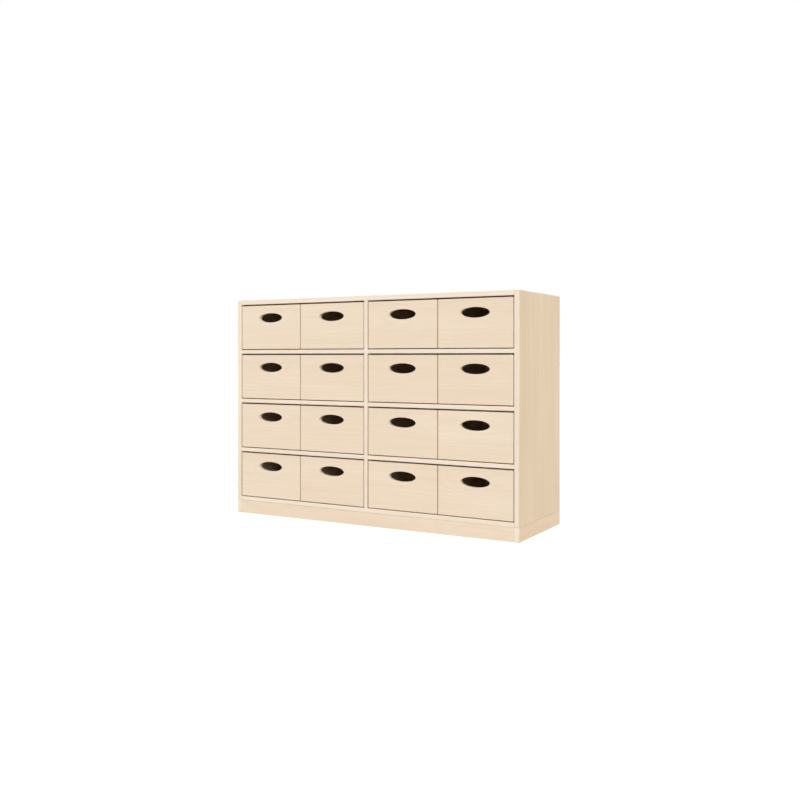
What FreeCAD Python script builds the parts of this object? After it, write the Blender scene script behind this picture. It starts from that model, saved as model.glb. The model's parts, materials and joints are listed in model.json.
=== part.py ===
import FreeCAD, Part
import math
import os

# Bin storage unit: a low cabinet of pale boards on a plinth, with loose bins that slide in side by
# side on its shelves. Each bin is a grooved box with a flat front and an oval hand hole.
# +X runs to the right, +Y to the rear and +Z up. The origin is on the floor, in the middle of the
# footprint. All sizes are in millimetres.

# Overall size and layout
WIDTH = 1200.0
HEIGHT = 840.0
DEPTH = 390.0
ROWS = 4
BINS_PER_BAY = 2

# Boards of the cabinet
OUTER_BOARD = 18.0  # side panels and top panel
INNER_BOARD = 15.0  # bottom panel, divider and shelves
BACK_BOARD = 8.0
BACK_INSET = 12.0  # from the rear edges to the back panel
EDGE_BAND = 2.0
EDGE_BAND_BEVEL = 0.8

# Joints of the cabinet
HOUSING_IN_OUTER = 5.0  # depth of the housings that hold the divider and the shelves' outer ends
HOUSING_IN_DIVIDER = 4.0
HOUSING_END_PLAY = 0.3
BACK_GROOVE_DEPTH = 7.0
BACK_EDGE_PLAY = 0.5
BACK_FACE_PLAY = 0.2
DOWEL_DIAMETER = 8.0
DOWEL_LENGTH = 30.0
DOWEL_IN_SIDE = 12.0
DOWEL_RADIAL_PLAY = 0.05
DOWEL_END_PLAY = 0.8
DOWEL_EDGE_DISTANCE = 60.0
DOWELS_PER_END = 2

# Plinth
PLINTH_HEIGHT = 50.0
PLINTH_BOARD = 18.0
CORNER_BLOCK = 32.0
CORNER_BLOCK_HEIGHT = 36.0

# Bins
BIN_SIDE_GAP = 3.0  # beside each front, to the next front or to a panel
BIN_GAP_BELOW = 3.0  # under the front; the box itself rides on the shelf
BIN_GAP_ABOVE = 5.0
BIN_RECESS = 2.0  # of the fronts behind the cabinet's front edges
BIN_BACK_PLAY = 0.3
FRONT_BOARD = 15.0
FRONT_EDGE_BEVEL = 0.8
BIN_BOARD = 12.0
BIN_HEADROOM = 18.0  # from the box's upper edge to the shelf above
BOX_EDGE_BEVEL = 1.0
BIN_BOTTOM = 5.0
BIN_BOTTOM_LIFT = 8.0
BOTTOM_GROOVE_DEPTH = 6.0
BOTTOM_EDGE_PLAY = 0.5
BOTTOM_FACE_PLAY = 0.1
TONGUE = 6.0
TONGUE_OFFSET = 3.0  # from the side board's outer face
TONGUE_PLAY = 0.1
REAR_REBATE = 6.0  # what is cut from a side board to let the rear board in

# Hand holes
GRIP_WIDTH = 108.0
GRIP_HEIGHT = 36.0
GRIP_END_RADIUS = 9.5
GRIP_DROP = 48.5  # from the front's upper edge to the hole's middle
GRIP_RIM_BEVEL = 1.2

# Planes that the pieces share
HALF_WIDTH = WIDTH / 2
FRONT_Y = -DEPTH / 2
REAR_Y = DEPTH / 2
BOARD_FRONT_Y = FRONT_Y + EDGE_BAND
BACK_REAR_Y = REAR_Y - BACK_INSET
BACK_FRONT_Y = BACK_REAR_Y - BACK_BOARD
INNER_X = HALF_WIDTH - OUTER_BOARD
DIVIDER_X = INNER_BOARD / 2
BOTTOM_TOP_Z = PLINTH_HEIGHT + INNER_BOARD
TOP_UNDER_Z = HEIGHT - OUTER_BOARD
SIDE_TOP_Z = HEIGHT - EDGE_BAND  # a band closes each side panel's upper end
ROW_PITCH = (TOP_UNDER_Z - BOTTOM_TOP_Z + INNER_BOARD) / ROWS
ROW_CLEAR = ROW_PITCH - INNER_BOARD
BIN_WIDTH = (INNER_X - DIVIDER_X - (BINS_PER_BAY + 1) * BIN_SIDE_GAP) / BINS_PER_BAY

RIGHT = FreeCAD.Vector(1, 0, 0)


def block(x, y, z):
    """A board between the low and the high plane of each axis."""
    corner = FreeCAD.Vector(x[0], y[0], z[0])
    return Part.makeBox(x[1] - x[0], y[1] - y[0], z[1] - z[0], corner)


def edges_where(shape, chosen):
    """The edges whose ends all satisfy the test."""
    return [e for e in shape.Edges if all(chosen(v.Point) for v in e.Vertexes)]


def same(a, b):
    """True for two coordinates of one plane."""
    return abs(a - b) < 1e-6


def mirrored(shape):
    """The same piece on the other side of the unit."""
    return shape.mirror(FreeCAD.Vector(0, 0, 0), RIGHT)


def save(node, *solids):
    """Writes one node, a single piece or a group of separate ones."""
    shape = solids[0] if len(solids) == 1 else Part.makeCompound(list(solids))
    shape.exportStep("parts/" + node + ".step")


def row_floor(row):
    """Height of the surface that a row of bins stands on. Row 1 is the uppermost."""
    return BOTTOM_TOP_Z + (ROWS - row) * ROW_PITCH


# Back panel, in a groove of the side, top and bottom panels
def back_panel_space(play_at_edges, play_at_face):
    """The back panel's own volume, or with play the groove that takes it."""
    reach = BACK_GROOVE_DEPTH - BACK_EDGE_PLAY + play_at_edges
    x = (-INNER_X - reach, INNER_X + reach)
    y = (BACK_FRONT_Y, BACK_REAR_Y + play_at_face)
    z = (BOTTOM_TOP_Z - reach, TOP_UNDER_Z + reach)
    return block(x, y, z)


# Shelves and divider, let into housings
def shelf_board(row, end_play):
    """The shelf under a row in the right bay. With no end play it is the cutter of its housings."""
    x = (
        DIVIDER_X - HOUSING_IN_DIVIDER + end_play,
        INNER_X + HOUSING_IN_OUTER - end_play,
    )
    z = (row_floor(row) - INNER_BOARD, row_floor(row))
    return block(x, (BOARD_FRONT_Y, BACK_FRONT_Y), z)


def divider_board(end_play):
    """The upright between the bays. With no end play it is the cutter of its housings."""
    z = (
        BOTTOM_TOP_Z - HOUSING_IN_OUTER + end_play,
        TOP_UNDER_Z + HOUSING_IN_OUTER - end_play,
    )
    return block((-DIVIDER_X, DIVIDER_X), (BOARD_FRONT_Y, BACK_FRONT_Y), z)


# Dowels that join the top and bottom panels to the sides
def dowel_places():
    """Where the right side's dowels cross the joint between side and panel."""
    first = BOARD_FRONT_Y + DOWEL_EDGE_DISTANCE
    last = BACK_FRONT_Y - DOWEL_EDGE_DISTANCE
    levels = (PLINTH_HEIGHT + INNER_BOARD / 2, HEIGHT - OUTER_BOARD / 2)
    places = []
    for z in levels:
        for i in range(DOWELS_PER_END):
            y = first + (last - first) * i / (DOWELS_PER_END - 1)
            places.append(FreeCAD.Vector(INNER_X, y, z))
    return places


def dowel(place, radial_play, end_play):
    """A dowel of the right side, or with play the two holes that hold it."""
    start = place + RIGHT * (DOWEL_IN_SIDE - DOWEL_LENGTH - end_play)
    length = DOWEL_LENGTH + 2 * end_play
    return Part.makeCylinder(DOWEL_DIAMETER / 2 + radial_play, length, start, RIGHT)


def edge_band(x, z, upright):
    """A glued strip on a board's front edge, its two long front edges broken."""
    strip = block(x, (FRONT_Y, BOARD_FRONT_Y), z)
    axis = 0 if upright else 2
    edges = []
    for plane in x if upright else z:
        edges += edges_where(strip, lambda p: same(p.y, FRONT_Y) and same(p[axis], plane))
    return strip.makeChamfer(EDGE_BAND_BEVEL, edges)


def make_cabinet():
    """The side, top, bottom and back panels, the divider and the shelves."""
    back_groove = back_panel_space(BACK_EDGE_PLAY, BACK_FACE_PLAY)
    depth = (BOARD_FRONT_Y, REAR_Y)
    shelf_rows = range(1, ROWS)

    dowels = [dowel(place, 0, 0) for place in dowel_places()]
    dowel_holes = [
        dowel(place, DOWEL_RADIAL_PLAY, DOWEL_END_PLAY) for place in dowel_places()
    ]

    side = block((INNER_X, HALF_WIDTH), depth, (PLINTH_HEIGHT, SIDE_TOP_Z))
    side = side.cut([back_groove] + dowel_holes + [shelf_board(r, 0) for r in shelf_rows])
    save("side_panel_right", side)
    save("side_panel_left", mirrored(side))

    holes = dowel_holes + [mirrored(hole) for hole in dowel_holes]
    cutters = [back_groove, divider_board(0)] + holes
    top = block((-INNER_X, INNER_X), depth, (TOP_UNDER_Z, HEIGHT))
    save("top_panel", top.cut(cutters))
    bottom = block((-INNER_X, INNER_X), depth, (PLINTH_HEIGHT, BOTTOM_TOP_Z))
    save("bottom_panel", bottom.cut(cutters))

    housings = [shelf_board(r, 0) for r in shelf_rows]
    housings += [mirrored(housing) for housing in housings]
    save("centre_divider", divider_board(HOUSING_END_PLAY).cut(housings))
    for row in shelf_rows:
        shelf = shelf_board(row, HOUSING_END_PLAY)
        save("shelf_right_" + str(row), shelf)
        save("shelf_left_" + str(row), mirrored(shelf))

    save("back_panel", back_panel_space(0, 0))
    save("corner_dowels", *(dowels + [mirrored(d) for d in dowels]))


def make_edge_bands():
    """The lighter strips on the boards' front edges and on the side panels' upper ends."""
    side = edge_band((INNER_X, HALF_WIDTH), (PLINTH_HEIGHT, HEIGHT), True)
    end = block((INNER_X, HALF_WIDTH), (BOARD_FRONT_Y, REAR_Y), (SIDE_TOP_Z, HEIGHT))
    save("edge_bands_sides", side, mirrored(side), end, mirrored(end))
    save("edge_band_top", edge_band((-INNER_X, INNER_X), (TOP_UNDER_Z, HEIGHT), False))
    bottom_z = (PLINTH_HEIGHT, BOTTOM_TOP_Z)
    save("edge_band_bottom", edge_band((-INNER_X, INNER_X), bottom_z, False))
    divider_z = (BOTTOM_TOP_Z, TOP_UNDER_Z)
    save("edge_band_divider", edge_band((-DIVIDER_X, DIVIDER_X), divider_z, True))
    shelves = []
    for row in range(1, ROWS):
        z = (row_floor(row) - INNER_BOARD, row_floor(row))
        strip = edge_band((DIVIDER_X, INNER_X), z, False)
        shelves += [strip, mirrored(strip)]
    save("edge_bands_shelves", *shelves)
    plinth = edge_band((INNER_X, HALF_WIDTH), (0, PLINTH_HEIGHT), True)
    save("edge_bands_plinth", plinth, mirrored(plinth))


def make_plinth():
    """Front and rear boards between two side boards, with glued blocks in the corners and a rail
    under the divider."""
    height = (0, PLINTH_HEIGHT)
    front = (FRONT_Y, FRONT_Y + PLINTH_BOARD)
    rear = (REAR_Y - PLINTH_BOARD, REAR_Y)
    across = (-INNER_X, INNER_X)
    save("plinth_front", block(across, front, height))
    save("plinth_rear", block(across, rear, height))
    side = block((INNER_X, HALF_WIDTH), (BOARD_FRONT_Y, REAR_Y), height)
    save("plinth_side_right", side)
    save("plinth_side_left", mirrored(side))
    rail_x = (-PLINTH_BOARD / 2, PLINTH_BOARD / 2)
    save("plinth_centre_rail", block(rail_x, (front[1], rear[0]), height))

    block_x = (INNER_X - CORNER_BLOCK, INNER_X)
    block_z = (PLINTH_HEIGHT - CORNER_BLOCK_HEIGHT, PLINTH_HEIGHT)
    front_block = block(block_x, (front[1], front[1] + CORNER_BLOCK), block_z)
    rear_block = block(block_x, (rear[0] - CORNER_BLOCK, rear[0]), block_z)
    blocks = [front_block, rear_block]
    save("plinth_corner_blocks", *(blocks + [mirrored(piece) for piece in blocks]))


# Bins, made about the middle of their width and standing on z = 0
BIN_SIDE_HEIGHT = ROW_CLEAR - BIN_HEADROOM
BIN_FRONT_Y = FRONT_Y + BIN_RECESS
BOX_FRONT_Y = BIN_FRONT_Y + FRONT_BOARD
BOX_REAR_Y = BACK_FRONT_Y - BIN_BACK_PLAY
BIN_HALF = BIN_WIDTH / 2
BIN_FRONT_TOP = ROW_CLEAR - BIN_GAP_ABOVE


def bin_bottom_space(play_at_edges, play_at_face):
    """The bin's bottom panel, or with play the groove that runs round the box for it."""
    reach = BOTTOM_GROOVE_DEPTH - BOTTOM_EDGE_PLAY + play_at_edges
    half = BIN_HALF - BIN_BOARD + reach
    y = (BOX_FRONT_Y - reach, BOX_REAR_Y - BIN_BOARD + reach)
    z = (BIN_BOTTOM_LIFT, BIN_BOTTOM_LIFT + BIN_BOTTOM + play_at_face)
    return block((-half, half), y, z)


def side_tongue(play):
    """The tongue at a side board's front end, or with play its groove in the front."""
    outer = BIN_HALF - TONGUE_OFFSET
    x = (outer - TONGUE - play, outer + play)
    y = (BOX_FRONT_Y - TONGUE - play, BOX_FRONT_Y)
    return block(x, y, (BIN_GAP_BELOW, BIN_SIDE_HEIGHT + play))


def hand_hole():
    """The oval that is routed through a bin's front: two flat arcs and two tight end arcs."""
    half_width = GRIP_WIDTH / 2
    half_height = GRIP_HEIGHT / 2
    end_x = half_width - GRIP_END_RADIUS
    flat_radius = (half_height**2 + end_x**2 - GRIP_END_RADIUS**2) / (
        2 * (half_height - GRIP_END_RADIUS)
    )
    turn = math.atan2(flat_radius - half_height, end_x)
    meet_x = end_x + GRIP_END_RADIUS * math.cos(turn)
    meet_z = GRIP_END_RADIUS * math.sin(turn)

    middle_z = BIN_FRONT_TOP - GRIP_DROP
    points = [
        (-meet_x, meet_z),
        (0, half_height),
        (meet_x, meet_z),
        (half_width, 0),
        (meet_x, -meet_z),
        (0, -half_height),
        (-meet_x, -meet_z),
        (-half_width, 0),
        (-meet_x, meet_z),
    ]
    places = [FreeCAD.Vector(x, BIN_FRONT_Y, middle_z + z) for x, z in points]
    arcs = [Part.Arc(*places[i : i + 3]).toShape() for i in (0, 2, 4, 6)]
    return Part.Face(Part.Wire(arcs)).extrude(FreeCAD.Vector(0, FRONT_BOARD, 0))


def bin_front():
    """The front board, with its hand hole and the grooves for the side boards and bottom."""
    x = (-BIN_HALF, BIN_HALF)
    board = block(x, (BIN_FRONT_Y, BOX_FRONT_Y), (BIN_GAP_BELOW, BIN_FRONT_TOP))
    edges = edges_where(board, lambda p: same(p.y, BIN_FRONT_Y))
    board = board.makeChamfer(FRONT_EDGE_BEVEL, edges)
    board = board.cut(hand_hole())
    arcs = [edge for edge in board.Edges if edge.Curve.TypeId == "Part::GeomCircle"]
    rim = [arc for arc in arcs if same(arc.CenterOfMass.y, BIN_FRONT_Y)]
    board = board.makeChamfer(GRIP_RIM_BEVEL, rim)
    groove = side_tongue(TONGUE_PLAY)
    bottom_groove = bin_bottom_space(BOTTOM_EDGE_PLAY, BOTTOM_FACE_PLAY)
    return board.cut([groove, mirrored(groove), bottom_groove])


def bin_side():
    """The right side board, with its tongue, its rear rebate and the bottom's groove."""
    x = (BIN_HALF - BIN_BOARD, BIN_HALF)
    board = block(x, (BOX_FRONT_Y, BOX_REAR_Y), (0, BIN_SIDE_HEIGHT))
    upper = edges_where(board, lambda p: same(p.z, BIN_SIDE_HEIGHT))
    long_upper = [edge for edge in upper if edge.Length > BIN_BOARD]
    board = board.makeChamfer(BOX_EDGE_BEVEL, long_upper)
    board = board.fuse(side_tongue(0))
    groove = bin_bottom_space(BOTTOM_EDGE_PLAY, BOTTOM_FACE_PLAY)
    return board.cut([rear_board_space(), groove]).removeSplitter()


def rear_board_space():
    """The volume of the rear board, let into rebates at the side boards' ends."""
    reach = BIN_HALF - BIN_BOARD + REAR_REBATE
    return block((-reach, reach), (BOX_REAR_Y - BIN_BOARD, BOX_REAR_Y), (0, BIN_SIDE_HEIGHT))


def bin_rear():
    """The rear board, its upper edges bevelled and grooved for the bottom."""
    board = rear_board_space()
    upper = edges_where(board, lambda p: same(p.z, BIN_SIDE_HEIGHT))
    long_upper = [edge for edge in upper if edge.Length > BIN_BOARD]
    board = board.makeChamfer(BOX_EDGE_BEVEL, long_upper)
    return board.cut(bin_bottom_space(BOTTOM_EDGE_PLAY, BOTTOM_FACE_PLAY))


def make_bins():
    """One front and one box for each place, all alike."""
    front = bin_front()
    side = bin_side()
    box = [side, mirrored(side), bin_rear(), bin_bottom_space(0, 0)]
    bin_pitch = BIN_WIDTH + BIN_SIDE_GAP
    first_x = DIVIDER_X + BIN_SIDE_GAP + BIN_HALF
    middles = [first_x + i * bin_pitch for i in range(BINS_PER_BAY)]
    middles = sorted([-x for x in middles] + middles)
    for row in range(1, ROWS + 1):
        for column, x in enumerate(middles, start=1):
            place = FreeCAD.Vector(x, 0, row_floor(row))
            name = "_row" + str(row) + "_col" + str(column)
            save("bin_front" + name, front.translated(place))
            save("bin_box" + name, *[piece.translated(place) for piece in box])


os.makedirs("parts", exist_ok=True)
make_cabinet()
make_edge_bands()
make_plinth()
make_bins()
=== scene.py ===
import bmesh
import bpy
import json
import math
import random
from mathutils import Matrix, Vector

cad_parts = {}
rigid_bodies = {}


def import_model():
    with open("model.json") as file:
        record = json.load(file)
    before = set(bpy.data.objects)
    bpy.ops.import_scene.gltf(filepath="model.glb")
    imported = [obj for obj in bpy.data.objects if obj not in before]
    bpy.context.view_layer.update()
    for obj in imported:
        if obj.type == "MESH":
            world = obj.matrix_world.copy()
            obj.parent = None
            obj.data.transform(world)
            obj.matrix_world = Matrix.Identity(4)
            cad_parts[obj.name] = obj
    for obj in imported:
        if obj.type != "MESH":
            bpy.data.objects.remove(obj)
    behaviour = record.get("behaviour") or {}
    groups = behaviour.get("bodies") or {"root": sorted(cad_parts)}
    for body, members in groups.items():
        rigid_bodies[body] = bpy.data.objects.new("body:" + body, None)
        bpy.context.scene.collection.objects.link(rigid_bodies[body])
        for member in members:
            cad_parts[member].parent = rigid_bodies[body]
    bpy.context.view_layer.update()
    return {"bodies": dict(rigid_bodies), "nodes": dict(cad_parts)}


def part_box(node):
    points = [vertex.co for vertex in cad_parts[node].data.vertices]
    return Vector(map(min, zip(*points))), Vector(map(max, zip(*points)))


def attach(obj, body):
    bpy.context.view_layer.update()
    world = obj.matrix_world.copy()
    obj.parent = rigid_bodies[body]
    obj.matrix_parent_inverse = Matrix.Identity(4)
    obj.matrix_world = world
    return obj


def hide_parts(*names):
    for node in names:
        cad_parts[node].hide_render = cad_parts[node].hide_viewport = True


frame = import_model()

# Camera
# It stands to the right of the unit, level and a little above its middle, as the photograph was taken.
# Level, it keeps the uprights parallel, and its shift puts the horizon above the picture's middle.
CAMERA_PLACE = (1.7406, -2.9669, 0.6162)
CAMERA_TURN = 29.93  # degrees, from straight ahead towards the left
SENSOR_WIDTH = 36
FOCAL_LENGTH = 40.37
HORIZON_SHIFT = -0.05375
scene = bpy.context.scene
camera = bpy.data.objects.new("camera", bpy.data.cameras.new("camera"))
camera.location = CAMERA_PLACE
camera.rotation_euler = (math.radians(90), 0, math.radians(CAMERA_TURN))
camera.data.sensor_width = SENSOR_WIDTH
camera.data.lens = FOCAL_LENGTH
camera.data.shift_y = HORIZON_SHIFT
scene.collection.objects.link(camera)
scene.camera = camera

# Studio
# A white room, dimmer towards its ceiling, with a wide soft lamp to each side of the camera and a low
# weak one behind the unit. Floor and room are white to the camera and in reflections, where the lamps
# don't show, and the floor still takes the unit's faint shadow.
ROOM_LIGHT = 1.04
CEILING_LIGHT = 0.545
FLOOR_REACH = 60  # metres from its middle to each edge
FLOOR_WHITE = "#9F9D9B"  # for the light that it throws back
FLOOR_SHOWN = 0.55  # how much of the light on the floor the camera sees; the rest of its white is its own
FLOOR_GLOW = 0.62

# Each lamp's turn to the right of the front, its height and its spread, all in degrees, and its
# strength, where 1 brings a white surface that faces the lamp to full white
LAMPS = {
    "left_lamp": (-28, 30, 40, 0.20),
    "right_lamp": (46, 20, 30, 0.46),
    "rear_lamp": (200, 8, 50, 0.25),
}


def linear(hex_colour):
    """An sRGB hex colour as the linear one that shaders take."""
    levels = [int(hex_colour[i : i + 2], 16) / 255 for i in (1, 3, 5)]
    return [v / 12.92 if v <= 0.04045 else ((v + 0.055) / 1.055) ** 2.4 for v in levels] + [1]


def node(tree, kind, inputs=None, **settings):
    """Adds a node. inputs gives each socket its value, or the output or the node that feeds it."""
    made = tree.nodes.new(kind)
    for name, value in settings.items():
        setattr(made, name, value)
    for socket, value in (inputs or {}).items():
        if isinstance(value, bpy.types.Node):
            value = value.outputs[0]
        if isinstance(value, bpy.types.NodeSocket):
            tree.links.new(value, made.inputs[socket])
        else:
            made.inputs[socket].default_value = value
    return made


def direct_view(tree):
    """1 for what the camera sees directly, in a reflection or through glass, and else 0."""
    ray = node(tree, "ShaderNodeLightPath")
    total = ray.outputs["Is Camera Ray"]
    for kind in ("Is Glossy Ray", "Is Transmission Ray"):
        total = node(tree, "ShaderNodeMath", {0: total, 1: ray.outputs[kind]}, operation="MAXIMUM")
    return total


world = bpy.data.worlds.new("white_room")
scene.world = world
world.use_nodes = True
tree = world.node_tree
tree.nodes.clear()
aim = node(tree, "ShaderNodeSeparateXYZ", {0: node(tree, "ShaderNodeTexCoord").outputs["Generated"]})
rise = aim.outputs["Z"]
lit = node(tree, "ShaderNodeMapRange", {"Value": rise, "To Min": ROOM_LIGHT, "To Max": CEILING_LIGHT})
seen = node(tree, "ShaderNodeMapRange", {"Value": direct_view(tree), "To Min": lit, "To Max": 1.0})
room = node(tree, "ShaderNodeBackground", {"Color": (1, 1, 1, 1), "Strength": seen})
node(tree, "ShaderNodeOutputWorld", {"Surface": room})
scene.view_settings.view_transform = "Standard"

for name, (turn, height, spread, strength) in LAMPS.items():
    lamp = bpy.data.lights.new(name, "SUN")
    lamp.energy = strength * math.pi
    lamp.angle = math.radians(spread)
    holder = bpy.data.objects.new(name, lamp)
    holder.rotation_euler = (math.radians(90 - height), 0, math.radians(turn))
    holder.visible_glossy = False
    scene.collection.objects.link(holder)

mesh = bpy.data.meshes.new("floor")
shape = bmesh.new()
bmesh.ops.create_grid(shape, x_segments=1, y_segments=1, size=FLOOR_REACH)
shape.to_mesh(mesh)
shape.free()
floor = bpy.data.objects.new("floor", mesh)
scene.collection.objects.link(floor)
paint = bpy.data.materials.new("white_floor_paint")
paint.use_nodes = True
tree = paint.node_tree
tree.nodes.clear()

# Matt white paint. It throws less light back at the unit than it shows to the camera.
matt = node(tree, "ShaderNodeBsdfDiffuse", {"Color": linear(FLOOR_WHITE)})
shaded = node(tree, "ShaderNodeBsdfDiffuse", {"Color": (FLOOR_SHOWN, FLOOR_SHOWN, FLOOR_SHOWN, 1)})
glow = node(tree, "ShaderNodeEmission", {"Strength": FLOOR_GLOW})
shown = node(tree, "ShaderNodeAddShader", {0: shaded, 1: glow})
either = node(tree, "ShaderNodeMixShader", {0: direct_view(tree), 1: matt, 2: shown})
node(tree, "ShaderNodeOutputMaterial", {"Surface": either})
mesh.materials.append(paint)

# Side panels
# Particle board under a printed light maple foil, satin and nearly closed, with the grain upright.
# They run from the plinth to the top and cover the ends of the top and bottom panels.
MM = 0.001
# The side panels' tones are the foil painted a shade deeper and yellower than on the level boards: painted
# shade for the faces that look to the side.
SIDE_PAINTED_SHADE_TONES = ("#ECD7B8", "#E1C49D", "#D9B690")
PORE_DULLNESS = 0.06  # added to a board's roughness in its pores
FIBRE_GLOSS = 0.05  # taken from it on its fibres
BOARD_CHANGE = 41.0  # the figure's cells per metre through the boards, so that no two boards are alike

# The layers of the figure, by the length of their cells along the grain and their width across it
FIBRES = (90 * MM, 1.1 * MM)
PORES = (11 * MM, 0.45 * MM)  # the real ones are about 0.1 mm wide; these are as coarse as they need to show
STREAKS = (420 * MM, 7 * MM)
CLOUDS = (500 * MM, 110 * MM)
RING_RIPPLES = (200 * MM, 30 * MM)
RING_FADES = (350 * MM, 30 * MM)
PITH_DIPS = (800 * MM, math.inf)
PITH_BENDS = (700 * MM, math.inf)

# The growth rings: how deep the pith lies under the board and how far it strays to each side, how wide
# the rings are and how high they ripple, and where in a ring its late wood lies, and how dark
PITH_DEPTHS = (-10 * MM, 190 * MM)
PITH_STRAYS = (-80 * MM, 80 * MM)
RING_WIDTH = 8 * MM
RIPPLE = 9 * MM
EARLY_WOOD = 0.05
LATE_WOOD = ((0.45, 0.12), (0.82, 1.0), (0.93, 0.45))


def plain_sawn_maple():
    """The figure of a plain-sawn board, from a place in metres: X along the grain, Y across it from the
    board's middle, and Z a number that tells boards apart."""
    group = bpy.data.node_groups.new("plain_sawn_maple", "ShaderNodeTree")
    group.interface.new_socket("Place", in_out="INPUT", socket_type="NodeSocketVector")
    for output in ("Tone", "Ring", "Height"):
        group.interface.new_socket(output, in_out="OUTPUT", socket_type="NodeSocketFloat")
    place = node(group, "NodeGroupInput")

    def layer(cells, detail=1.0, seed=0.0):
        """Noise drawn out along the grain. Its seed keeps it apart from the other layers."""
        drawn = node(
            group,
            "ShaderNodeVectorMath",
            {0: place, 1: (1 / cells[0], 1 / cells[1], 1), 2: (0, 0, seed)},
            operation="MULTIPLY_ADD",
        )
        return node(
            group,
            "ShaderNodeTexNoise",
            {"Vector": drawn, "Scale": 1.0, "Detail": detail, "Roughness": 0.5},
        )

    # Growth rings are circles round a pith that wanders under the board, so the saw opens them to flames
    least, most = PITH_DEPTHS
    dips = layer(PITH_DIPS)
    depth = node(group, "ShaderNodeMath", {0: dips, 1: most - least, 2: least}, operation="MULTIPLY_ADD")
    least, most = PITH_STRAYS
    bends = layer(PITH_BENDS, seed=31.0)
    stray = node(group, "ShaderNodeMath", {0: bends, 1: most - least, 2: least}, operation="MULTIPLY_ADD")
    across = node(group, "ShaderNodeSeparateXYZ", {0: place}).outputs["Y"]
    offset = node(group, "ShaderNodeMath", {0: across, 1: stray}, operation="ADD")
    from_pith = node(group, "ShaderNodeCombineXYZ", {"X": offset, "Y": depth})
    radius = node(group, "ShaderNodeVectorMath", {0: from_pith}, operation="LENGTH").outputs["Value"]
    ripples = layer(RING_RIPPLES, detail=2.0, seed=57.0)
    waved = node(group, "ShaderNodeMath", {0: ripples, 1: RIPPLE, 2: radius}, operation="MULTIPLY_ADD")
    rings = node(group, "ShaderNodeMath", {0: waved, 1: 1 / RING_WIDTH}, operation="MULTIPLY")
    in_ring = node(group, "ShaderNodeMath", {0: rings}, operation="FRACT")
    late = node(group, "ShaderNodeValToRGB", {"Fac": in_ring})
    stops = late.color_ramp.elements
    for stop in stops:
        stop.color = (EARLY_WOOD, EARLY_WOOD, EARLY_WOOD, 1)
    for position, level in LATE_WOOD:
        stops.new(position).color = (level, level, level, 1)
    fades = node(
        group,
        "ShaderNodeMapRange",
        {"Value": layer(RING_FADES, seed=83.0), "From Min": 0.35, "From Max": 0.65, "To Min": 0.25},
    )
    ring = node(group, "ShaderNodeMath", {0: late, 1: fades}, operation="MULTIPLY")

    # The tone is a sum of layers, each with its share, and the sum's usual span is drawn out to the full
    fibres = layer(FIBRES, detail=2.0)
    specks = layer(PORES, detail=0.0, seed=5.0)
    pores = node(group, "ShaderNodeMapRange", {"Value": specks, "From Min": 0.66, "From Max": 0.8})
    streaks = layer(STREAKS, detail=2.0, seed=11.0)
    clouds = layer(CLOUDS, seed=23.0)
    tone = 0.0
    for part, share in ((pores, 0.3), (clouds, 0.9), (streaks, 1.0), (fibres, 0.5)):
        tone = node(group, "ShaderNodeMath", {0: part, 1: share, 2: tone}, operation="MULTIPLY_ADD")
    tone = node(group, "ShaderNodeMapRange", {"Value": tone, "From Min": 0.75, "From Max": 1.65})
    height = node(group, "ShaderNodeMath", {0: fibres, 1: pores}, operation="SUBTRACT")
    node(group, "NodeGroupOutput", {"Tone": tone, "Ring": ring, "Height": height})
    return group


MAPLE = plain_sawn_maple()


def wood(name, tones, grain=None, roughness=0.42, relief=0.015, rings=0.5):
    """A board's finish. tones are its pale and deep wood and its rings, relief is its pores' depth in
    millimetres, and rings is how strongly the rings show. grain is None for a piece that carries its own.
    Else it gives the board's directions along the grain, across it and into the board, and the middle of
    its width."""
    material = bpy.data.materials.new(name)
    material.use_nodes = True
    tree = material.node_tree
    tree.nodes.clear()
    if grain is None:
        place = node(tree, "ShaderNodeAttribute", attribute_name="grain").outputs["Vector"]
    else:
        along, across, into, middle = grain
        here = node(tree, "ShaderNodeTexCoord").outputs["Object"]
        parts = node(tree, "ShaderNodeSeparateXYZ", {0: here}).outputs
        width = node(tree, "ShaderNodeMath", {0: parts[across], 1: middle}, operation="SUBTRACT")
        skew = node(tree, "ShaderNodeMath", {0: width, 1: parts[into]}, operation="ADD")
        board = node(tree, "ShaderNodeMath", {0: parts[into], 1: BOARD_CHANGE}, operation="MULTIPLY")
        place = node(tree, "ShaderNodeCombineXYZ", {"X": parts[along], "Y": skew, "Z": board})
    figure = node(tree, "ShaderNodeGroup", {"Place": place}, node_tree=MAPLE).outputs

    # In a colour mix the two colours are sockets 6 and 7, and output 2 is their mix
    pale, deep, late = map(linear, tones)
    plain = node(tree, "ShaderNodeMix", {0: figure["Tone"], 6: pale, 7: deep}, data_type="RGBA")
    share = node(tree, "ShaderNodeMath", {0: figure["Ring"], 1: rings}, operation="MULTIPLY")
    ringed = node(tree, "ShaderNodeMix", {0: share, 6: plain.outputs[2], 7: late}, data_type="RGBA")
    dull, glossy = roughness + PORE_DULLNESS, roughness - FIBRE_GLOSS
    height = figure["Height"]
    gloss = node(tree, "ShaderNodeMapRange", {"Value": height, "To Min": dull, "To Max": glossy})
    bump = node(tree, "ShaderNodeBump", {"Height": height, "Strength": 0.5, "Distance": relief * MM})
    skin = node(
        tree,
        "ShaderNodeBsdfPrincipled",
        {"Base Color": ringed.outputs[2], "Roughness": gloss, "Normal": bump},
    )
    node(tree, "ShaderNodeOutputMaterial", {"Surface": skin})
    return material


def finish_nodes(material, *names):
    """Gives CAD nodes their finish."""
    for name in names:
        slots = frame["nodes"][name].data.materials
        slots.clear()
        slots.append(material)


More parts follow.
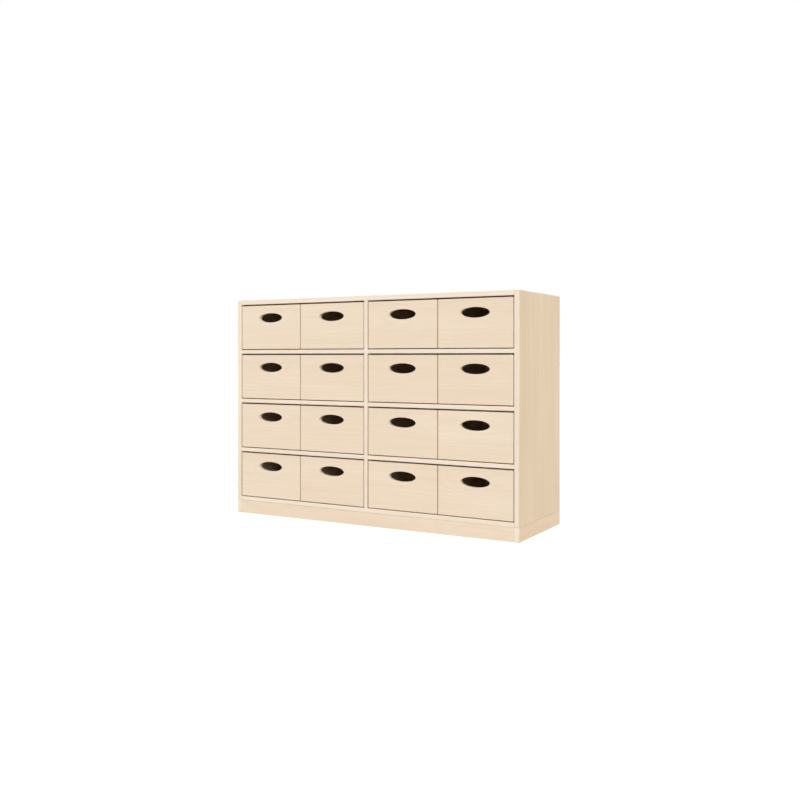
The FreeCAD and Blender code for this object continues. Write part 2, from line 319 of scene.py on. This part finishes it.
# The upright foil carries that painted shade.
upright_foil_painted_shade = wood("maple_foil_upright_painted_shade", SIDE_PAINTED_SHADE_TONES, ("Z", "Y", "X", 0.0), rings=0.2)
finish_nodes(upright_foil_painted_shade, "side_panel_left", "side_panel_right")

# Top, bottom and back panels
# The same foiled board with its grain across the unit, held between the side panels by dowels. The back
# is a thinner one, set in grooves of the four boards around it.
FOIL_TONES = ("#EDDCC5", "#E5D0B7", "#DFC2A6")
BACK_MIDDLE = 440 * MM  # of its height, up from the floor
level_foil = wood("maple_foil_level", FOIL_TONES, ("X", "Y", "Z", 0.0), rings=0.25)
back_foil = wood("maple_foil_back", FOIL_TONES, ("X", "Z", "Y", BACK_MIDDLE), rings=0.25)
finish_nodes(level_foil, "top_panel", "bottom_panel")
finish_nodes(back_foil, "back_panel")

# Divider and shelves
# Thinner boards with the same foil. The divider stands in housings of the top and bottom panels, with
# its grain upright, and each shelf lies in housings of the divider and a side panel.
# The divider takes the side panels' tones, with their painted shade.
finish_nodes(upright_foil_painted_shade, "centre_divider")
finish_nodes(level_foil, *[name for name in frame["nodes"] if name.startswith("shelf_")])

# Dowels
# Turned beech, redder and duller than the boards, two in each outer corner. They are glued into the
# ends of the top and bottom panels and into the side panels.
BEECH_TONES = ("#DDBB93", "#C99F73", "#B98A5E")
beech = wood("turned_beech", BEECH_TONES, ("X", "Y", "Z", 0.0), roughness=0.6)
finish_nodes(beech, "corner_dowels")

# Edge bands
# Strips of solid maple, 2 mm thick, glued to the boards' front edges and to the side panels' upper
# ends, then milled flush and rounded. A fine notch shows where a level strip ends at an upright one.
BAND_TONES = ("#F3E6D5", "#E8D7C2", "#DCC4A8")
BAND_ROUND = 1.9 * MM
BAND_NOTCH = 0.2 * MM
ROUND_STEPS = 4
NEAR = 0.01 * MM  # a point this near to a face lies in it
AXES = {"x": 0, "y": 1, "z": 2}
BOARD_NUMBERS = 90  # the boards are numbered from 0 to this, and each number gives another figure
NUMBER_STEP = 100 * MM  # how much further along the grain a board with the next number is cut
BOARDS = random.Random(5)


def new_shape():
    """An empty mesh whose points hold their place in the grain of their board."""
    made = bmesh.new()
    made.verts.layers.float_vector.new("grain")
    return made


def lay_grain(shape, points, along, across):
    """Notes for each point of one board where it lies in the board's grain."""
    grain = shape.verts.layers.float_vector["grain"]
    length, width = AXES[along], AXES[across]
    depth = 3 - length - width
    middle = sum((v.co for v in points), Vector()) / len(points)
    number = BOARDS.uniform(0, BOARD_NUMBERS)
    for v in points:
        off = v.co - middle
        v[grain] = (off[length] + number * NUMBER_STEP, off[width] + off[depth], number)


def edges_between(points, chosen):
    """The edges at some points whose two ends are both chosen, or all edges if chosen is None."""
    edges = dict.fromkeys(e for v in points for e in v.link_edges)
    return [e for e in edges if chosen is None or all(chosen(v.co) for v in e.verts)]


def round_edges(shape, edges, rounding, steps=ROUND_STEPS):
    """Rounds edges and shades the round faces smooth."""
    made = bmesh.ops.bevel(
        shape,
        geom=edges,
        offset=rounding,
        offset_type="OFFSET",
        segments=steps,
        profile=0.5,
        affect="EDGES",
        material=-1,
        clamp_overlap=True,
    )
    for face in made["faces"]:
        face.smooth = True
    return made["faces"]


def add_board(shape, low, high, along, across, rounding=0.0, chosen=None, steps=ROUND_STEPS):
    """Adds a board between two corners, with its grain along one axis and its width across another."""
    before = set(shape.verts)
    middle = (Vector(low) + Vector(high)) / 2
    size = Vector(high) - Vector(low)
    place = Matrix.Translation(middle) @ Matrix.Diagonal((*size, 1))
    corners = bmesh.ops.create_cube(shape, size=1, matrix=place)["verts"]
    if rounding:
        round_edges(shape, edges_between(corners, chosen), rounding, steps)
    points = [v for v in shape.verts if v not in before]
    lay_grain(shape, points, along, across)
    return points


def make_piece(name, shape, finishes, body, slot, *nodes):
    """Turns a mesh into a piece that rides on a body and stands for CAD nodes."""
    mesh = bpy.data.meshes.new(name)
    shape.to_mesh(mesh)
    shape.free()
    for finish in finishes:
        mesh.materials.append(finish)
    made = bpy.data.objects.new(name, mesh)
    scene.collection.objects.link(made)
    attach(made, body)
    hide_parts(*nodes)


# Solid maple under a satin lacquer is paler than the foil, and its rings hardly show
lipping = wood("maple_lipping", BAND_TONES, rings=0.15)
front_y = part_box("edge_band_top")[0].y
band_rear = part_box("edge_band_top")[1].y
half_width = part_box("edge_bands_sides")[1].x
inner_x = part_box("edge_band_top")[1].x
divider_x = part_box("edge_band_divider")[1].x
cabinet_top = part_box("edge_bands_sides")[1].z
plinth_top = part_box("edge_bands_plinth")[1].z
rear_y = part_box("plinth_rear")[1].y


def add_band(shape, x, z, along):
    """Adds a strip on a front edge, its front edges rounded, with a notch at each end of a level one."""
    if along == "x":
        x = (x[0] + BAND_NOTCH, x[1] - BAND_NOTCH)
    across = "x" if along == "z" else "z"
    low, high = (x[0], front_y, z[0]), (x[1], band_rear, z[1])
    add_board(shape, low, high, along, across, BAND_ROUND, lambda p: p.y < front_y + NEAR)


shape = new_shape()
for side in (-1, 1):
    x = sorted((side * inner_x, side * half_width))
    add_band(shape, x, (plinth_top, cabinet_top), "z")
    low = (x[0], band_rear, cabinet_top - (band_rear - front_y))
    high = (x[1], rear_y, cabinet_top)
    add_board(shape, low, high, "y", "x", BAND_ROUND / 2, lambda p: p.z > cabinet_top - NEAR)
make_piece("lipping_sides", shape, [lipping], "cabinet", "edge_band", "edge_bands_sides")

shape = new_shape()
for side in (-1, 1):
    x = sorted((side * inner_x, side * half_width))
    add_band(shape, x, (0, plinth_top - BAND_NOTCH), "z")
make_piece("lipping_plinth", shape, [lipping], "cabinet", "edge_band", "edge_bands_plinth")

for name, along in (("top", "x"), ("bottom", "x"), ("divider", "z")):
    low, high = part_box("edge_band_" + name)
    shape = new_shape()
    add_band(shape, (low.x, high.x), (low.z, high.z), along)
    make_piece("lipping_" + name, shape, [lipping], "cabinet", "edge_band", "edge_band_" + name)

shape = new_shape()
for name in frame["nodes"]:
    if name.startswith("shelf_"):
        side = 1 if "right" in name else -1
        low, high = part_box(name)
        add_band(shape, sorted((side * divider_x, side * inner_x)), (low.z, high.z), "x")
make_piece("lipping_shelves", shape, [lipping], "cabinet", "edge_band", "edge_bands_shelves")

# Plinth
# A frame of the same foiled board on edge, with its grain level. The front and rear boards stand
# between the side boards, a rail runs under the divider, and sawn spruce blocks hold the corners.
# The side boards' tones are painted: the foil deeper and yellower, as painted shade for faces that look to
# the side, and a little lighter than the side panels', as painted light against the shade near the floor.
PLINTH_SIDE_PAINTED_SHADE_TONES = ("#F1DCBD", "#E4C7A1", "#DBB78F")
SPRUCE_TONES = ("#E9D3AE", "#D9BB8C", "#C79E66")
PLINTH_EASE = 0.4 * MM
PLINTH_JOINT = 0.6 * MM  # between a side board of the plinth and the side panel on it
BLOCK_SIZE = 32 * MM
BLOCK_EASE = 1.0 * MM
EASE_STEPS = 2
foil = wood("maple_foil", FOIL_TONES, rings=0.25)
plinth_side_painted_shade = wood("maple_foil_plinth_painted_shade", PLINTH_SIDE_PAINTED_SHADE_TONES, rings=0.2)

# Spruce straight from the saw is dull and rough, with bold rings
spruce = wood("sawn_spruce", SPRUCE_TONES, roughness=0.75, relief=0.08, rings=0.8)
for name, along, finish, joint in (
    ("plinth_front", "x", foil, BAND_NOTCH),
    ("plinth_rear", "x", foil, BAND_NOTCH),
    ("plinth_side_left", "y", plinth_side_painted_shade, PLINTH_JOINT),
    ("plinth_side_right", "y", plinth_side_painted_shade, PLINTH_JOINT),
    ("plinth_centre_rail", "y", foil, BAND_NOTCH),
):
    shape = new_shape()
    low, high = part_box(name)
    high.z -= joint
    add_board(shape, low, high, along, "z", PLINTH_EASE, steps=EASE_STEPS)
    make_piece(name + "_board", shape, [finish], "cabinet", "plinth_board", name)

shape = new_shape()
low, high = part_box("plinth_corner_blocks")
for x in (low.x, high.x - BLOCK_SIZE):
    for y in (low.y, high.y - BLOCK_SIZE):
        start = (x, y, low.z)
        end = (x + BLOCK_SIZE, y + BLOCK_SIZE, high.z)
        add_board(shape, start, end, "z", "x", BLOCK_EASE, steps=EASE_STEPS)
make_piece("spruce_blocks", shape, [spruce], "cabinet", "plinth_block", "plinth_corner_blocks")

# Bin fronts
# Foiled board, 15 mm thick, with a rounded maple lipping on all four edges and an oval hand hole that
# is routed through it, its wall sealed and its rims rounded over. The foil's grain runs level.
# Painted shade: the fronts' lipping, deeper than the bands', darkens the gaps between them.
FRONT_LIPPING_PAINTED_SHADE_TONES = ("#E6D2B8", "#D9C0A0", "#CDB08C")
SEALED_TONES = ("#F0E2CE", "#E6D4BD", "#DAC3A6")
FRONT_ROUND = 2.0 * MM
CORNER_ROUND = 3.5 * MM
GRIP_WIDTH = 110 * MM
GRIP_HEIGHT = 36.4 * MM
GRIP_DROP = 48.5 * MM  # from the front's upper edge to the hole's middle
GRIP_ROUND = 0.8 * MM
GRIP_SIDES = 72
FACING = 0.5  # a face looks along an axis if its normal has this much of it

# The fronts' lipping is the maple painted deeper, painted shade that darkens the gaps between the fronts and
# outlines each front, and the sealer is pale and dull
front_lipping_painted_shade = wood("maple_lipping_painted_shade", FRONT_LIPPING_PAINTED_SHADE_TONES, rings=0.15)
wall_seal = wood("sealed_board_core", SEALED_TONES, roughness=0.55, rings=0.15)
FRONT_FINISHES = [foil, front_lipping_painted_shade, wall_seal]
FOILED, LIPPED, SEALED = range(3)  # the finishes' places in that list


def points_among(geometry):
    """The points among what an operator made."""
    return [g for g in geometry if isinstance(g, bmesh.types.BMVert)]


def thicken(shape, faces, step):
    """Gives flat faces a thickness, by the step from one side to the other."""
    grown = bmesh.ops.extrude_face_region(shape, geom=faces)["geom"]
    bmesh.ops.translate(shape, verts=points_among(grown), vec=step)


def lay_face(shape, low, high, middle):
    """Lays a front's face as a ring from the hole's oval to the board's edges. The points that come
    nearest to the four corners go to them."""
    stand = Matrix.Rotation(math.pi / 2, 4, "X") @ Matrix.Diagonal((GRIP_WIDTH / 2, GRIP_HEIGHT / 2, 1, 1))
    place = Matrix.Translation(middle) @ stand
    bmesh.ops.create_circle(shape, segments=GRIP_SIDES, radius=1, matrix=place)
    outer = points_among(bmesh.ops.extrude_edge_only(shape, edges=shape.edges[:])["geom"])
    for v in outer:
        off = v.co - middle
        reach = (high.x if off.x > 0 else low.x) - middle.x, (high.z if off.z > 0 else low.z) - middle.z
        scales = [r / o for r, o in zip(reach, (off.x, off.z)) if abs(o) > NEAR]
        v.co = middle + off * min(scales)
    for x in (low.x, high.x):
        for z in (low.z, high.z):
            corner = Vector((x, low.y, z))
            min(outer, key=lambda v: (v.co - corner).length).co = corner


def in_one_face(edge):
    """True for an edge that lies in a front or rear face."""
    return abs(edge.verts[0].co.y - edge.verts[1].co.y) < NEAR


def bounds_lipping(edge):
    """True for an edge between the lipping and another finish."""
    finishes = {face.material_index for face in edge.link_faces}
    return LIPPED in finishes and len(finishes) == 2


def make_front(name, body):
    """One front, from its hole outwards."""
    low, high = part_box(name)
    middle = Vector(((low.x + high.x) / 2, low.y, high.z - GRIP_DROP))

    def at_corner(p):
        off = min(abs(p.x - low.x), abs(p.x - high.x)), min(abs(p.z - low.z), abs(p.z - high.z))
        return max(off) < NEAR

    def at_hole(p):
        return abs(p.x - middle.x) < GRIP_WIDTH / 2 + NEAR and abs(p.z - middle.z) < GRIP_HEIGHT / 2 + NEAR

    shape = new_shape()
    lay_face(shape, low, high, middle)
    thicken(shape, shape.faces[:], (0, high.y - low.y, 0))
    bmesh.ops.recalc_face_normals(shape, faces=shape.faces)
    round_edges(shape, edges_between(shape.verts, at_corner), CORNER_ROUND)

    # What looks neither forwards nor back is the hole's wall or the lipping
    for face in shape.faces:
        if abs(face.normal.y) < FACING:
            if all(at_hole(v.co) for v in face.verts):
                face.material_index = SEALED
                face.smooth = True
            else:
                face.material_index = LIPPED
    rims = [e for e in edges_between(shape.verts, at_hole) if in_one_face(e)]
    for face in round_edges(shape, rims, GRIP_ROUND):
        face.material_index = FOILED
    outline = [e for e in shape.edges if bounds_lipping(e) and e.verts[0].co.y < low.y + NEAR]
    for face in round_edges(shape, outline, FRONT_ROUND):
        face.material_index = LIPPED
    lay_grain(shape, shape.verts, "x", "z")
    make_piece(name + "_board", shape, FRONT_FINISHES, body, "bin_front_board", name)


# Bin boxes
# Two side boards, a rear board let into their rear ends and a thin bottom in a groove, all foiled, with
# rounded and lipped upper edges. The bottom is fibreboard, foiled above and bare and brown beneath.
# The boxes' foil is painted a shade deeper than the fronts': painted shade for boxes that stand inside the
# cabinet.
BOX_PAINTED_SHADE_TONES = ("#EBD7BE", "#DFC6A8", "#D2B290")
FIBREBOARD_TONES = ("#B98F63", "#A57B50", "#9A7148")
BOX_ROUND = 2.0 * MM
BOX_BOARD = 12 * MM
REAR_REBATE = 6 * MM
REAR_PLAY = 0.1 * MM  # at each end of the rear board, for its glue
BOTTOM_LIFT = 8 * MM
BOTTOM = 5 * MM
LIPPING_RISE = 0.2  # a lipped face looks up by more than this, as all steps of a rounding but the lowest do
box_foil_painted_shade = wood("maple_foil_box_painted_shade", BOX_PAINTED_SHADE_TONES, rings=0.25)

# Bare fibreboard is brown and quite dull, and hardly shows a figure
fibreboard = wood("bare_fibreboard", FIBREBOARD_TONES, roughness=0.8, relief=0.05, rings=0.1)
BOX_FINISHES = [box_foil_painted_shade, lipping, fibreboard]
BARE = 2  # the fibreboard's place in that list


def paint_faces(shape, points, chosen, finish):
    """Gives the faces of one board that are chosen another finish."""
    own = set(points)
    for face in shape.faces:
        if face.verts[0] in own and chosen(face):
            face.material_index = finish


def add_side(shape, outline, low, high, chosen):
    """Adds a side board from its outline seen from above, and rounds its chosen edges."""
    before = set(shape.verts)
    corners = [shape.verts.new((x, y, low.z)) for x, y in outline]
    foot = bmesh.ops.contextual_create(shape, geom=corners)["faces"]
    thicken(shape, foot, (0, 0, high.z - low.z))
    points = [v for v in shape.verts if v not in before]
    faces = dict.fromkeys(f for v in points for f in v.link_faces)
    bmesh.ops.recalc_face_normals(shape, faces=list(faces))
    round_edges(shape, edges_between(points, chosen), BOX_ROUND)
    points = [v for v in shape.verts if v not in before]
    lay_grain(shape, points, "y", "z")
    return points


def make_box(name, body):
    """The box behind one front."""
    low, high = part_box(name)
    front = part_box(name.replace("box", "front"))[1].y
    rear = high.y - BOX_BOARD
    shape = new_shape()

    def upper(p):
        return p.z > high.z - NEAR

    def lipped(face):
        return face.normal.z > LIPPING_RISE

    def underneath(face):
        return face.normal.z < -FACING

    for side in (-1, 1):
        outer = high.x if side > 0 else low.x
        inner = outer - side * BOX_BOARD
        tongue = outer - side * REAR_REBATE
        outline = (
            (outer, front),
            (inner, front),
            (inner, rear),
            (tongue, rear),
            (tongue, high.y),
            (outer, high.y),
        )
        paint_faces(shape, add_side(shape, outline, low, high, upper), lipped, LIPPED)
    inset = REAR_REBATE + REAR_PLAY
    start, end = (low.x + inset, rear, low.z), (high.x - inset, high.y, high.z)
    paint_faces(shape, add_board(shape, start, end, "x", "z", BOX_ROUND, upper), lipped, LIPPED)
    lift = low.z + BOTTOM_LIFT
    start, end = (low.x + BOX_BOARD, front, lift), (high.x - BOX_BOARD, rear, lift + BOTTOM)
    paint_faces(shape, add_board(shape, start, end, "x", "y"), underneath, BARE)
    make_piece(name + "_boards", shape, BOX_FINISHES, body, "bin_box_board", name)


# Each bin's front and box ride together on its own body
for body in frame["bodies"]:
    if body.startswith("bin_"):
        make_front(body.replace("bin_", "bin_front_"), body)
        make_box(body.replace("bin_", "bin_box_"), body)
